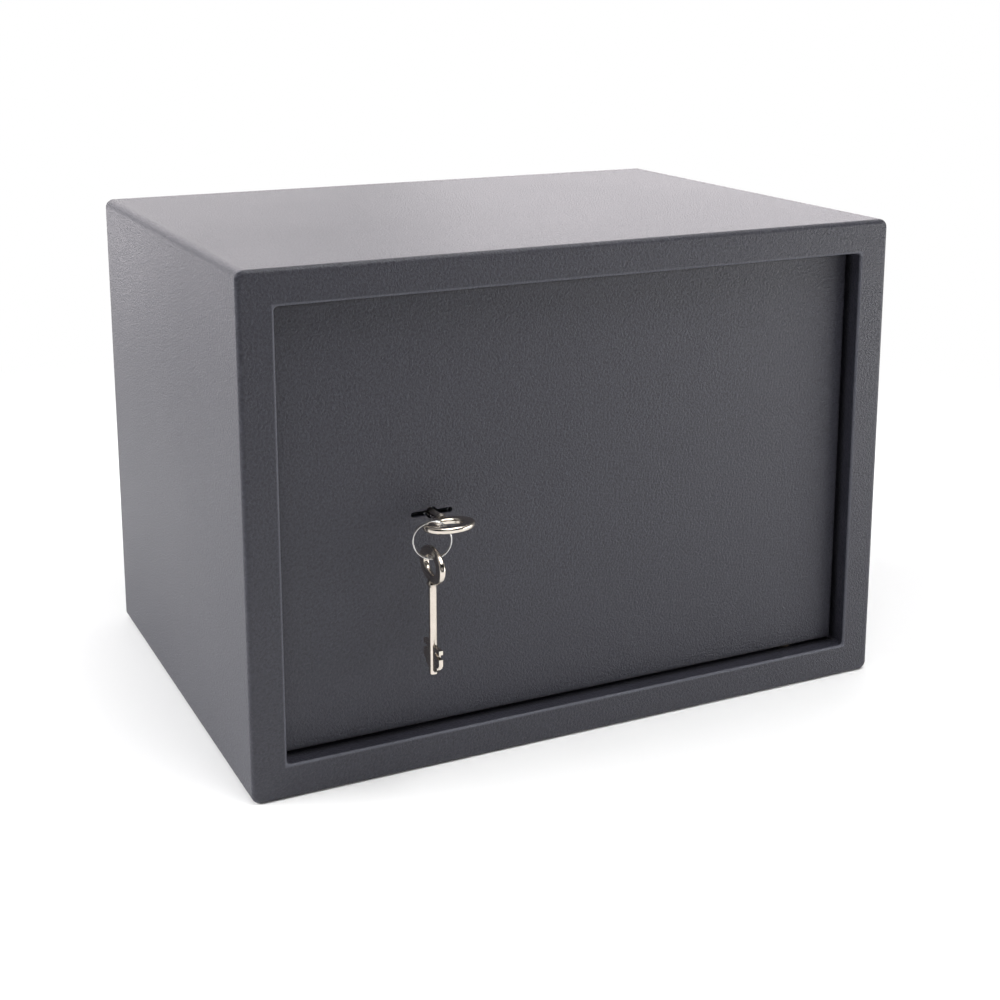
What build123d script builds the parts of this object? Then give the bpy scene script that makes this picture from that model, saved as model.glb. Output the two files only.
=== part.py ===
from build123d import *
import math
import os

os.makedirs("parts", exist_ok=True)

# A small key lock safe, in millimetres. X runs to the right along the front, Y runs from the front
# to the back and Z runs up. The origin is the centre of the footprint, on the supporting surface.
# Depths are measured backwards from the front face of the cabinet.

# Cabinet
cabinet_width = 350.0
cabinet_depth = 250.0
cabinet_height = 250.0
sheet = 2.0  # wall thickness of the cabinet
corner_radius = 4.5  # outside radius of the four long folds
front_fold_radius = 2.5  # fold from the walls into the front lip
lip_width = 17.0  # front lip, all round the opening
lip_edge_radius = 1.2
opening_radius = 2.0
return_depth = 26.0  # how far the lip's return reaches back beside the door
weld_gap = 0.1
anchor_hole_diameter = 10.0
floor_anchor_spacing = 200.0
wall_anchor_spacing = 200.0
wall_anchor_height = 190.0

# Felt mat on the floor of the cabinet
mat_thickness = 2.5
mat_margin = 3.0
mat_radius = 6.0
mat_hole_diameter = 18.0

# Door
door_recess = 10.0  # front face of the door behind the front face of the cabinet
door_thickness = 4.0
door_gap = 1.6
door_radius = 1.5
door_edge_radius = 0.5
stop_width = 20.0
stop_height = 8.0
stop_thickness = 3.0
stop_gap = 0.3
stop_from_left = 70.0

# Hinges: a welded bracket and pin at the top and bottom of the door, and a bush in each return
pin_diameter = 7.0
pin_fit = 0.05
pin_to_door = 1.0  # free space between the pin and the back of the door
swing_clearance = 0.3
bush_diameter = 10.0
bush_flange_diameter = 13.4
bush_flange = 1.2
bush_below_return = 1.0
hinge_play = 0.3
hinge_tab_thickness = 4.0
hinge_tab_overhang = 9.0
hinge_leg_thickness = 3.0
hinge_leg_width = 29.0
hinge_leg_height = 30.0
hinge_leg_to_pin = 7.0
hinge_weld_collar = 1.5  # how far the pin stands out of the tab

# Bolt work: two round bolts on one carrier, each in a folded guide
throw = 15.0
bolt_diameter = 18.0
bolt_fit = 0.06
bolt_spacing = 118.0
bolt_to_return = 1.5  # bolts pass this far behind the lip's return
bolt_tip_inset = 1.0
bolt_chamfer = 1.5
guide_inset = 3.4
guide_sheet = 2.5
guide_rim = 4.0
guide_half_height = 14.0
guide_corner_radius = 5.0
carrier_width = 14.0
carrier_thickness = 3.0
carrier_clearance = 4.5
carrier_to_guide = 3.0
carrier_overhang = 11.0
seat_fit = 0.1

# Key, made once for the inserted key and once for the spare
key_shank_length = 44.8
key_shank_diameter = 4.0
bow_half_width = 12.75
bow_half_length = 8.8
bow_hole_half_width = 6.5
bow_hole_half_length = 4.3
bow_thickness = 3.0
bow_edge_radius = 1.2
bow_stand_off = 11.5  # from the bow to the front of the door when the key is home
neck_radius = 2.9
neck_length = 3.0
bit_thickness = 2.0
bit_reach = 9.1
bit_end_reach = 4.0
bit_length = 14.3  # from the tip to the first tooth's outer side
tip_length = 2.0
turning_gap = 0.3
keyhole_half_length = 10.7
keyhole_height = 2.6
keyhole_centre_diameter = 6.0
slot_fit = 0.3

# Lever lock
lever_cuts = [5.0, 6.5, 9.1, 8.2, 6.6]  # reach of the key's bit under each lever
levers_in_front = 3  # levers between the barrel and the lock bolt
lever_thickness = 0.9
lever_gap = 0.3
lock_bolt_thickness = 2.0
tooth_length = 1.9  # part of the bit that turns the barrel
barrel_radius = 12.5
journal_radius = 11.13
journal_fit = 0.07
lever_drop = 4.0  # degrees that the levers fall when no key lifts them
pivot_diameter = 5.0
pivot_right = 24.0
pivot_up = 12.0
pivot_fit = 0.05
lever_boss_radius = 6.0
spacer_radius = 4.6
stump_size = 4.0
stump_left = 4.0
gate_clearance = 0.35
pocket_clearance = 0.6
lever_bridge = 4.25
lever_rim = 3.8
talon_clearance = 0.4
nose_height = 12.0
nose_slot_clearance = 0.3
case_sheet = 1.5
pillar_radius = 3.2
case_spring_space = 7.4
case_margin = 0.5
ear_height = 13.0
ear_inset = 6.0
stud_diameter = 5.0
stud_length = 8.0
stud_inset = 8.0
nut_across_flats = 8.0
nut_height = 4.0
screw_diameter = 3.0
screw_shank = 2.4
screw_head_diameter = 5.6
screw_head_height = 1.8
screw_length = 9.0
carrier_screw_diameter = 5.0
carrier_screw_head = 9.0
carrier_screw_head_height = 2.6
carrier_screw_length = 6.0
nose_screw_diameter = 3.0
screw_shank = 2.4
nose_screw_head = 5.4
thread_fit = 0.05
slot_width = 0.9
spring_thickness = 0.4
spring_reach = 22.0

# Split ring
ring_diameter = 18.6
ring_wire = 0.8
ring_turns = 1.94
ring_turn_gap = 0.45
ring_yaw = 20.0  # degrees that the ring's plane is turned from the plane of the door
ring_drop = 6.0  # centre of the ring below the centre of the bow it hangs on
ring_from_key = 8.6
spare_hang = 1.3  # top of the spare key's hole above the middle of the ring's wire

# Places worked out from the sizes above
front_y = -cabinet_depth / 2
mid_height = cabinet_height / 2
inner_width = cabinet_width - 2 * sheet
inner_height = cabinet_height - 2 * sheet
opening_width = cabinet_width - 2 * lip_width
opening_height = cabinet_height - 2 * lip_width
door_width = opening_width - 2 * door_gap
door_height = opening_height - 2 * door_gap
door_left = -door_width / 2
door_back = door_recess + door_thickness

hinge_depth = door_back + pin_to_door + pin_diameter / 2
face_to_pin = hinge_depth - door_recess
swing_gap = door_gap - swing_clearance
hinge_inset = (face_to_pin**2 - swing_gap**2) / (2 * swing_gap) + swing_clearance * 3
hinge_x = door_width / 2 - hinge_inset

bolt_depth = return_depth + bolt_to_return + bolt_diameter / 2
bolt_tip_x = door_left + bolt_tip_inset
guide_left_x = door_left + guide_inset
carrier_left_x = guide_left_x + guide_sheet + carrier_clearance + throw
carrier_right_x = carrier_left_x + carrier_width
carrier_x = carrier_left_x + carrier_width / 2
guide_right_x = carrier_right_x + carrier_to_guide + guide_sheet
guide_back = bolt_depth + bolt_diameter / 2 + guide_rim
bolt_length = guide_right_x - bolt_tip_x + throw + 3 * bolt_tip_inset

bow_depth = door_recess - bow_stand_off - bow_half_length
tip_depth = door_recess - bow_stand_off + key_shank_length
bit_front = tip_depth - bit_length
barrel_back = bit_front + tooth_length

lever_pitch = lever_thickness + lever_gap
lock_bolt_front = barrel_back + lever_gap + levers_in_front * lever_pitch
lock_bolt_back = lock_bolt_front + lock_bolt_thickness
lever_fronts = [barrel_back + lever_gap + i * lever_pitch for i in range(levers_in_front)]
lever_fronts += [
    lock_bolt_back + lever_gap + i * lever_pitch
    for i in range(len(lever_cuts) - levers_in_front)
]
levers_back = lever_fronts[-1] + lever_thickness
cover_front = tip_depth - case_sheet

drop = math.sin(math.radians(lever_drop))
arch_reach = bit_reach + turning_gap
stump_up = arch_reach + lever_bridge + gate_clearance + stump_size / 2
gate_low = stump_up - stump_size / 2 - gate_clearance
gate_high = stump_up + stump_size / 2 + gate_clearance
pocket_high = gate_high + (pivot_right + stump_left + throw) * drop + gate_clearance
window_right = -stump_left + stump_size / 2 + pocket_clearance
window_left = -stump_left - throw - stump_size / 2 - pocket_clearance
pocket_width = stump_size + 2 * pocket_clearance
lever_left = window_left - lever_rim
lever_top = pocket_high + lever_rim
lever_bottom = bit_thickness / 2 + (pivot_right + arch_reach) * drop + 3 * turning_gap

case_inner_left = lever_left - 2 * pillar_radius - case_margin
case_inner_right = pivot_right + lever_boss_radius + 2 * pillar_radius + case_margin
case_inner_down = -(barrel_radius + 2 * case_sheet + 2 * case_margin)
case_inner_up = lever_top + case_spring_space
key_x = carrier_right_x + carrier_to_guide + case_sheet - case_inner_left
key_z = mid_height

ring_mid_radius = (ring_diameter - ring_wire) / 2
ring_x = key_x - ring_from_key
ring_z = key_z - ring_drop
ring_pitch = ring_wire + ring_turn_gap
spare_pivot_z = ring_z - ring_mid_radius
spare_bow_z = spare_pivot_z + spare_hang - bow_hole_half_length


def front_plane(depth, x=0.0, z=0.0):
    """A plane that faces the front, at a depth, with its own X to the right and Y up."""
    return Plane(origin=(x, front_y + depth, z), x_dir=(1, 0, 0), z_dir=(0, -1, 0))


def side_plane(x, depth, z):
    """A plane that faces the right, with its own X to the back and Y up."""
    return Plane(origin=(x, front_y + depth, z), x_dir=(0, 1, 0), z_dir=(1, 0, 0))


def lock_plane(depth):
    """A front plane with its origin on the key's axis."""
    return front_plane(depth, key_x, key_z)


def save(part, label):
    """Label a finished piece and write it to its own file."""
    part.label = label
    export_step(part, f"parts/{label}.step")


# Cabinet body: one folded and welded sheet with its lip and the lip's return
with BuildPart() as cabinet_body:
    with BuildSketch(front_plane(0, 0, mid_height)):
        RectangleRounded(cabinet_width, cabinet_height, corner_radius)
    extrude(amount=-cabinet_depth)
    front_face = cabinet_body.faces().sort_by(Axis.Y)[0]
    fillet(front_face.outer_wire().edges(), front_fold_radius)
    with BuildSketch(front_plane(sheet, 0, mid_height)):
        RectangleRounded(inner_width, inner_height, corner_radius - sheet)
    extrude(amount=-cabinet_depth, mode=Mode.SUBTRACT)
    with BuildSketch(front_plane(0, 0, mid_height)):
        RectangleRounded(opening_width, opening_height, opening_radius)
    extrude(amount=-sheet, mode=Mode.SUBTRACT)
    with BuildSketch(front_plane(sheet, 0, mid_height)):
        RectangleRounded(
            opening_width + 2 * sheet, opening_height + 2 * sheet, opening_radius + sheet
        )
        RectangleRounded(opening_width, opening_height, opening_radius, mode=Mode.SUBTRACT)
    extrude(amount=-(return_depth - sheet))
    front_face = cabinet_body.faces().sort_by(Axis.Y)[0]
    fillet(front_face.inner_wires()[0].edges(), lip_edge_radius)
    # Holes for the hinge bushes in the bottom and top returns
    for return_z in (lip_width - sheet, cabinet_height - lip_width):
        with BuildSketch(Plane.XY.offset(return_z)):
            with Locations((hinge_x, front_y + hinge_depth)):
                Circle(bush_diameter / 2)
        extrude(amount=sheet, mode=Mode.SUBTRACT)
    # Anchor holes in the floor
    with BuildSketch(Plane.XY):
        with GridLocations(floor_anchor_spacing, 0, 2, 1):
            Circle(anchor_hole_diameter / 2)
    extrude(amount=sheet, mode=Mode.SUBTRACT)
save(cabinet_body.part, "cabinet_body")

# Back panel, welded inside the end of the cabinet, with two wall anchor holes
with BuildPart() as back_panel:
    with BuildSketch(front_plane(cabinet_depth - sheet, 0, mid_height)):
        RectangleRounded(
            inner_width - 2 * weld_gap,
            inner_height - 2 * weld_gap,
            corner_radius - sheet,
        )
        with Locations((0, wall_anchor_height - mid_height)):
            with GridLocations(wall_anchor_spacing, 0, 2, 1):
                Circle(anchor_hole_diameter / 2, mode=Mode.SUBTRACT)
    extrude(amount=-sheet)
save(back_panel.part, "back_panel")

# Felt mat, cut out over the floor anchors
mat_front = front_y + return_depth + mat_margin
mat_back = front_y + cabinet_depth - sheet - mat_margin
with BuildPart() as floor_mat:
    with BuildSketch(Plane.XY.offset(sheet)):
        with Locations((0, (mat_front + mat_back) / 2)):
            RectangleRounded(inner_width - 2 * mat_margin, mat_back - mat_front, mat_radius)
        with GridLocations(floor_anchor_spacing, 0, 2, 1):
            Circle(mat_hole_diameter / 2, mode=Mode.SUBTRACT)
    extrude(amount=mat_thickness)
save(floor_mat.part, "floor_mat")

# Door stops: two tabs welded to the bottom and top returns, behind the free side of the door
stop_x = -opening_width / 2 + stop_from_left
stop_z = opening_height / 2 - stop_height / 2
with BuildPart() as door_stops:
    with BuildSketch(front_plane(door_back + stop_gap, stop_x, mid_height)) as stop_outline:
        with Locations((0, -stop_z), (0, stop_z)):
            Rectangle(stop_width, stop_height)
        inner_corners = stop_outline.vertices().filter_by(
            lambda corner: abs(corner.Z - mid_height) < stop_z
        )
        fillet(inner_corners, stop_thickness)
    extrude(amount=-stop_thickness)
save(door_stops.part, "door_stops")

# Door plate with its keyhole, a round hole with a wing on each side
with BuildPart() as door_plate:
    with BuildSketch(front_plane(door_recess, 0, mid_height)):
        RectangleRounded(door_width, door_height, door_radius)
    extrude(amount=-door_thickness)
    fillet(door_plate.faces().sort_by(Axis.Y)[0].edges(), door_edge_radius)
    with BuildSketch(lock_plane(door_recess)):
        SlotOverall(2 * keyhole_half_length, keyhole_height)
        Circle(keyhole_centre_diameter / 2)
    extrude(amount=-door_thickness, mode=Mode.SUBTRACT)
save(door_plate.part, "door_plate")

# Hinges, the lower one and its mirror image at the top
tab_low = lip_width + bush_flange + hinge_play
tab_high = tab_low + hinge_tab_thickness
tab_left = hinge_x - hinge_leg_to_pin - hinge_leg_width
tab_right = hinge_x + hinge_tab_overhang
tab_back = hinge_depth + hinge_tab_overhang
pin_low = lip_width - sheet - bush_below_return
for side, end in (("lower", 0), ("upper", 1)):

    def hinge_level(height):
        """A level plane at a height above the bottom, or below the top for the upper hinge."""
        level = cabinet_height - height if end else height
        return Plane(
            origin=(0, front_y, level), x_dir=(1, 0, 0), z_dir=(0, 0, -1 if end else 1)
        )

    def behind(depth):
        """A distance behind the front face, along the level plane's own Y."""
        return -depth if end else depth

    with BuildPart() as hinge_bracket:
        with BuildSketch(hinge_level(tab_low)) as tab:
            with Locations(((tab_left + tab_right) / 2, behind((door_back + tab_back) / 2))):
                Rectangle(tab_right - tab_left, tab_back - door_back)
            back_corners = tab.vertices().group_by(Axis.Y)[-1]
            fillet(back_corners, hinge_tab_thickness)
            with Locations((hinge_x, behind(hinge_depth))):
                Circle(pin_diameter / 2 + thread_fit, mode=Mode.SUBTRACT)
        extrude(amount=hinge_tab_thickness)
        with BuildSketch(hinge_level(tab_high)):
            with Locations(
                (tab_left + hinge_leg_width / 2, behind(door_back + hinge_leg_thickness / 2))
            ):
                Rectangle(hinge_leg_width, hinge_leg_thickness)
        extrude(amount=hinge_leg_height)
    save(hinge_bracket.part, f"{side}_hinge_bracket")

    with BuildPart() as hinge_pin:
        with BuildSketch(hinge_level(pin_low)):
            with Locations((hinge_x, behind(hinge_depth))):
                Circle(pin_diameter / 2)
        extrude(amount=tab_high + hinge_weld_collar - pin_low)
        chamfer(hinge_pin.edges().filter_by(GeomType.CIRCLE), hinge_play * 2)
    save(hinge_pin.part, f"{side}_hinge_pin")

    with BuildPart() as hinge_bush:
        with BuildSketch(hinge_level(pin_low)):
            with Locations((hinge_x, behind(hinge_depth))):
                Circle(bush_diameter / 2)
        extrude(amount=lip_width - pin_low)
        with BuildSketch(hinge_level(lip_width)):
            with Locations((hinge_x, behind(hinge_depth))):
                Circle(bush_flange_diameter / 2)
        extrude(amount=bush_flange)
        with BuildSketch(hinge_level(pin_low)):
            with Locations((hinge_x, behind(hinge_depth))):
                Circle(pin_diameter / 2 + pin_fit)
        extrude(amount=lip_width + bush_flange - pin_low, mode=Mode.SUBTRACT)
    save(hinge_bush.part, f"{side}_hinge_bush")

# Bolts, each in a guide folded to a U, and seated on the carrier by a milled flat
for side, bolt_z in (
    ("lower", key_z - bolt_spacing / 2),
    ("upper", key_z + bolt_spacing / 2),
):
    with BuildPart() as bolt_guide:
        with BuildSketch(
            Plane(origin=(0, front_y, bolt_z - guide_half_height), z_dir=(0, 0, 1))
        ):
            guide_mid_x = (guide_left_x + guide_right_x) / 2
            with Locations((guide_mid_x, (door_back + guide_back) / 2)):
                Rectangle(guide_right_x - guide_left_x, guide_back - door_back)
            with Locations((guide_mid_x, (door_back + guide_sheet + guide_back) / 2)):
                Rectangle(
                    guide_right_x - guide_left_x - 2 * guide_sheet,
                    guide_back - door_back - guide_sheet,
                    mode=Mode.SUBTRACT,
                )
        extrude(amount=2 * guide_half_height)
        back_edges = bolt_guide.edges().filter_by(Axis.X).group_by(Axis.Y)[-1]
        fillet(back_edges, guide_corner_radius)
        with BuildSketch(side_plane(guide_left_x, bolt_depth, bolt_z)):
            Circle(bolt_diameter / 2 + bolt_fit)
        extrude(amount=guide_right_x - guide_left_x, mode=Mode.SUBTRACT)
    save(bolt_guide.part, f"{side}_bolt_guide")

    with BuildPart() as bolt:
        with BuildSketch(side_plane(bolt_tip_x, bolt_depth, bolt_z)):
            Circle(bolt_diameter / 2)
        extrude(amount=bolt_length)
        chamfer(bolt.edges().filter_by(GeomType.CIRCLE), bolt_chamfer)
        with BuildSketch(front_plane(lock_bolt_back, carrier_x, bolt_z)):
            Rectangle(carrier_width + 2 * seat_fit, bolt_diameter + 2)
        extrude(amount=-bolt_diameter, mode=Mode.SUBTRACT)
        with BuildSketch(front_plane(lock_bolt_back, carrier_x, bolt_z)):
            Circle(carrier_screw_diameter / 2 + thread_fit)
        extrude(amount=carrier_screw_length - carrier_thickness + seat_fit, mode=Mode.SUBTRACT)
    save(bolt.part, f"{side}_bolt")

# Carrier that joins the bolts to the lock, and its screws
nose_up = stump_up - stump_size / 2 - gate_clearance
nose_screw_up = (nose_up - nose_height / 4, nose_up + nose_height / 4)
carrier_length = bolt_spacing + 2 * carrier_overhang
with BuildPart() as bolt_carrier:
    with BuildSketch(front_plane(lock_bolt_back, carrier_x, key_z)) as carrier_outline:
        Rectangle(carrier_width, carrier_length)
        fillet(carrier_outline.vertices(), carrier_width / 4)
        with Locations((0, -bolt_spacing / 2), (0, bolt_spacing / 2)):
            Circle(carrier_screw_diameter / 2 + thread_fit, mode=Mode.SUBTRACT)
        with Locations((0, nose_screw_up[0]), (0, nose_screw_up[1])):
            Circle(nose_screw_diameter / 2 + thread_fit, mode=Mode.SUBTRACT)
    extrude(amount=-carrier_thickness)
save(bolt_carrier.part, "bolt_carrier")

carrier_back = lock_bolt_back + carrier_thickness
with BuildPart() as carrier_screws:
    for screw_z, shank, head, length in (
        (-bolt_spacing / 2, carrier_screw_diameter, carrier_screw_head, carrier_screw_length),
        (bolt_spacing / 2, carrier_screw_diameter, carrier_screw_head, carrier_screw_length),
        (
            nose_screw_up[0],
            nose_screw_diameter,
            nose_screw_head,
            carrier_thickness + lock_bolt_thickness,
        ),
        (
            nose_screw_up[1],
            nose_screw_diameter,
            nose_screw_head,
            carrier_thickness + lock_bolt_thickness,
        ),
    ):
        with BuildSketch(front_plane(carrier_back, carrier_x, key_z + screw_z)):
            Circle(head / 2)
        extrude(amount=-carrier_screw_head_height)
        with BuildSketch(front_plane(carrier_back, carrier_x, key_z + screw_z)):
            Circle(shank / 2)
        extrude(amount=length)
        with BuildSketch(
            front_plane(carrier_back + carrier_screw_head_height, carrier_x, key_z + screw_z)
        ):
            RegularPolygon(head / 4, 6)
        extrude(amount=carrier_screw_head_height / 2, mode=Mode.SUBTRACT)
save(carrier_screws.part, "carrier_screws")

# Lock case, an open box with a fixing ear above and below and a pillar in each corner
case_width = case_inner_right - case_inner_left
case_height = case_inner_up - case_inner_down
case_mid = ((case_inner_left + case_inner_right) / 2, (case_inner_down + case_inner_up) / 2)
ear_width = case_width - 2 * ear_inset
stud_right = ear_width / 2 - stud_inset
stud_up = case_height / 2 + case_sheet + ear_height / 2
pillar_grid = (case_width - 2 * pillar_radius, case_height - 2 * pillar_radius)
pillars = [
    (case_mid[0] + right * pillar_grid[0] / 2, case_mid[1] + up * pillar_grid[1] / 2, right, up)
    for right in (-1, 1)
    for up in (-1, 1)
]
with BuildPart() as lock_case:
    with BuildSketch(lock_plane(door_back)):
        with Locations(case_mid):
            RectangleRounded(
                case_width + 2 * case_sheet, case_height + 2 * case_sheet, 2 * case_sheet
            )
            RectangleRounded(
                ear_width, case_height + 2 * case_sheet + 2 * ear_height, 2 * case_sheet
            )
            with GridLocations(2 * stud_right, 2 * stud_up, 2, 2):
                Circle(stud_diameter / 2 + slot_fit, mode=Mode.SUBTRACT)
        Circle(journal_radius + journal_fit, mode=Mode.SUBTRACT)
    extrude(amount=-case_sheet)
    with BuildSketch(lock_plane(door_back + case_sheet)):
        with Locations(case_mid):
            RectangleRounded(
                case_width + 2 * case_sheet, case_height + 2 * case_sheet, 2 * case_sheet
            )
            Rectangle(case_width, case_height, mode=Mode.SUBTRACT)
        for across, height, right, up in pillars:
            with Locations((across, height)):
                Circle(pillar_radius)
            with Locations((across + right * pillar_radius / 2, height)):
                Rectangle(pillar_radius, 2 * pillar_radius)
            with Locations((across, height + up * pillar_radius / 2)):
                Rectangle(2 * pillar_radius, pillar_radius)
            with Locations((across, height)):
                Circle(screw_shank / 2 + thread_fit, mode=Mode.SUBTRACT)
    extrude(amount=-(cover_front - door_back - case_sheet))
    with BuildSketch(side_plane(key_x + case_inner_left - case_sheet, 0, key_z)):
        with Locations((lock_bolt_front + lock_bolt_thickness / 2, nose_up)):
            Rectangle(
                lock_bolt_thickness + 2 * nose_slot_clearance,
                nose_height + 2 * nose_slot_clearance,
            )
    extrude(amount=case_sheet, mode=Mode.SUBTRACT)
save(lock_case.part, "lock_case")

# Lock cover with its screws. The key's tip turns in the cover's hole.
with BuildPart() as lock_cover:
    with BuildSketch(lock_plane(cover_front)):
        with Locations(case_mid):
            RectangleRounded(
                case_width + 2 * case_sheet, case_height + 2 * case_sheet, 2 * case_sheet
            )
            with GridLocations(pillar_grid[0], pillar_grid[1], 2, 2):
                Circle(screw_diameter / 2 + slot_fit, mode=Mode.SUBTRACT)
        Circle(key_shank_diameter / 2 + slot_fit, mode=Mode.SUBTRACT)
    extrude(amount=-case_sheet)
save(lock_cover.part, "lock_cover")

cover_back = cover_front + case_sheet
with BuildPart() as lock_screws:
    with BuildSketch(lock_plane(cover_back)):
        with Locations(case_mid):
            with GridLocations(pillar_grid[0], pillar_grid[1], 2, 2):
                Circle(screw_head_diameter / 2)
    extrude(amount=-screw_head_height)
    with BuildSketch(lock_plane(cover_back)):
        with Locations(case_mid):
            with GridLocations(pillar_grid[0], pillar_grid[1], 2, 2):
                Circle(screw_shank / 2)
    extrude(amount=screw_length)
    with BuildSketch(lock_plane(cover_back + screw_head_height)):
        with Locations(case_mid):
            with GridLocations(pillar_grid[0], pillar_grid[1], 2, 2):
                Rectangle(screw_head_diameter * 0.8, slot_width)
                Rectangle(slot_width, screw_head_diameter * 0.8)
    extrude(amount=screw_head_height / 2, mode=Mode.SUBTRACT)
save(lock_screws.part, "lock_screws")

# Studs welded to the door, and the nuts that hold the lock case
with BuildPart() as lock_studs:
    with BuildSketch(lock_plane(door_back)):
        with Locations(case_mid):
            with GridLocations(2 * stud_right, 2 * stud_up, 2, 2):
                Circle(stud_diameter / 2)
    extrude(amount=-stud_length)
    stud_ends = lock_studs.edges().filter_by(GeomType.CIRCLE).group_by(Axis.Y)[-1]
    chamfer(stud_ends, stud_diameter / 8)
save(lock_studs.part, "lock_studs")

with BuildPart() as lock_nuts:
    with BuildSketch(lock_plane(door_back + case_sheet)):
        with Locations(case_mid):
            with GridLocations(2 * stud_right, 2 * stud_up, 2, 2):
                RegularPolygon(nut_across_flats / 2, 6, major_radius=False)
                Circle(stud_diameter / 2 + thread_fit, mode=Mode.SUBTRACT)
    extrude(amount=-nut_height)
save(lock_nuts.part, "lock_nuts")

# Key barrel: its journal turns in the case, and the key's first teeth turn its slot
with BuildPart() as key_barrel:
    with BuildSketch(lock_plane(door_back + lever_gap)):
        Circle(journal_radius)
    extrude(amount=-case_sheet)
    with BuildSketch(lock_plane(door_back + lever_gap + case_sheet)):
        Circle(barrel_radius)
    extrude(amount=-(barrel_back - door_back - lever_gap - case_sheet))
    with BuildSketch(lock_plane(door_back)):
        SlotOverall(2 * (bit_reach + 3 * slot_fit), bit_thickness + 2 * slot_fit)
        Circle(key_shank_diameter / 2 + slot_fit)
    extrude(amount=-(barrel_back - door_back), mode=Mode.SUBTRACT)
save(key_barrel.part, "key_barrel")

# Lever pivot with its spacers
with BuildPart() as lever_pivot:
    with BuildSketch(lock_plane(door_back + case_sheet)):
        with Locations((pivot_right, pivot_up)):
            Circle(pivot_diameter / 2)
    extrude(amount=-(cover_front - door_back - case_sheet))
save(lever_pivot.part, "lever_pivot")

spacer_runs = (
    (door_back + case_sheet, lever_fronts[0] - lever_gap / 3),
    (lock_bolt_front - lever_gap * 2 / 3, lock_bolt_back + lever_gap * 2 / 3),
    (levers_back + lever_gap / 3, cover_front),
)
with BuildPart() as pivot_spacers:
    for run_front, run_back in spacer_runs:
        with BuildSketch(lock_plane(run_front)):
            with Locations((pivot_right, pivot_up)):
                Circle(spacer_radius)
                Circle(pivot_diameter / 2 + thread_fit, mode=Mode.SUBTRACT)
        extrude(amount=-(run_back - run_front))
save(pivot_spacers.part, "pivot_spacers")

# Lock bolt: a plate over the key with a talon for the bit, a nose that leaves the case, and the
# square stump that runs in the levers' windows
body_left = case_inner_left + throw + case_margin
body_right = pivot_right - spacer_radius - 2 * gate_clearance
body_low = arch_reach / 2
body_high = stump_up + stump_size / 2 + lever_rim / 2
talon_mid = throw / 2
enter_angle = math.asin(body_low / bit_reach)
talon_half = bit_reach * math.cos(enter_angle) - throw / 2 + throw * enter_angle / math.pi
talon_half += bit_thickness / 2 + talon_clearance
with BuildPart() as lock_bolt:
    with BuildSketch(lock_plane(lock_bolt_front)):
        with Locations(((body_left + body_right) / 2, (body_low + body_high) / 2)):
            Rectangle(body_right - body_left, body_high - body_low)
        with Locations(((carrier_left_x - key_x + body_left) / 2, nose_up)):
            Rectangle(body_left - carrier_left_x + key_x, nose_height)
        with Locations((talon_mid, (body_low + arch_reach + talon_clearance) / 2)):
            Rectangle(
                2 * talon_half, arch_reach + talon_clearance - body_low, mode=Mode.SUBTRACT
            )
        with Locations(
            (carrier_x - key_x, nose_screw_up[0]), (carrier_x - key_x, nose_screw_up[1])
        ):
            Circle(nose_screw_diameter / 2 + thread_fit, mode=Mode.SUBTRACT)
    extrude(amount=-lock_bolt_thickness)
    with BuildSketch(lock_plane(lever_fronts[0] - lever_gap / 2)):
        with Locations((-stump_left, stump_up)):
            Rectangle(stump_size, stump_size)
    extrude(amount=-(levers_back - lever_fronts[0] + lever_gap))
save(lock_bolt.part, "lock_bolt")

# Levers: each has an arch over its own step of the key, and a window whose gate lets the stump
# pass from one pocket to the other only while the lever is lifted
spring_root = (pivot_right - lever_boss_radius * 2, lever_top)
spring_bend = spring_root[0] - lever_boss_radius
spring_tip = (spring_bend - spring_reach, case_inner_up - turning_gap - swing_clearance)
for number, (cut, lever_front) in enumerate(zip(lever_cuts, lever_fronts), start=1):
    with BuildPart() as lever:
        with BuildSketch(lock_plane(lever_front)) as lever_outline:
            with BuildLine():
                Polyline(
                    (lever_left, lever_bottom),
                    (pivot_right, pivot_up - lever_boss_radius),
                    (pivot_right, pivot_up + lever_boss_radius),
                    (spring_root[0], lever_top),
                    (lever_left, lever_top),
                    close=True,
                )
            make_face()
            with Locations((pivot_right, pivot_up)):
                Circle(lever_boss_radius)
            Circle(cut + turning_gap, mode=Mode.SUBTRACT)
            with Locations(((window_left + window_right) / 2, stump_up)):
                Rectangle(window_right - window_left, gate_high - gate_low, mode=Mode.SUBTRACT)
            for pocket_x in (window_left + pocket_width / 2, window_right - pocket_width / 2):
                with Locations((pocket_x, (gate_high + pocket_high) / 2)):
                    Rectangle(pocket_width, pocket_high - gate_high, mode=Mode.SUBTRACT)
            with Locations((pivot_right, pivot_up)):
                Circle(pivot_diameter / 2 + pivot_fit, mode=Mode.SUBTRACT)
        extrude(amount=-lever_thickness)
    save(lever.part, f"lever_{number}")

# Lever springs: one flat strip on each lever, bent up to the top of the case
with BuildPart() as lever_springs:
    for lever_front in lever_fronts:
        with BuildSketch(lock_plane(lever_front)):
            with BuildLine():
                Polyline(
                    spring_root,
                    (spring_root[0], lever_top + spring_thickness),
                    (spring_bend, lever_top + spring_thickness * 1.2),
                    spring_tip,
                    (spring_tip[0], spring_tip[1] - spring_thickness),
                    (spring_bend, lever_top),
                    close=True,
                )
            make_face()
        extrude(amount=-lever_thickness)
save(lever_springs.part, "lever_springs")


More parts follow.
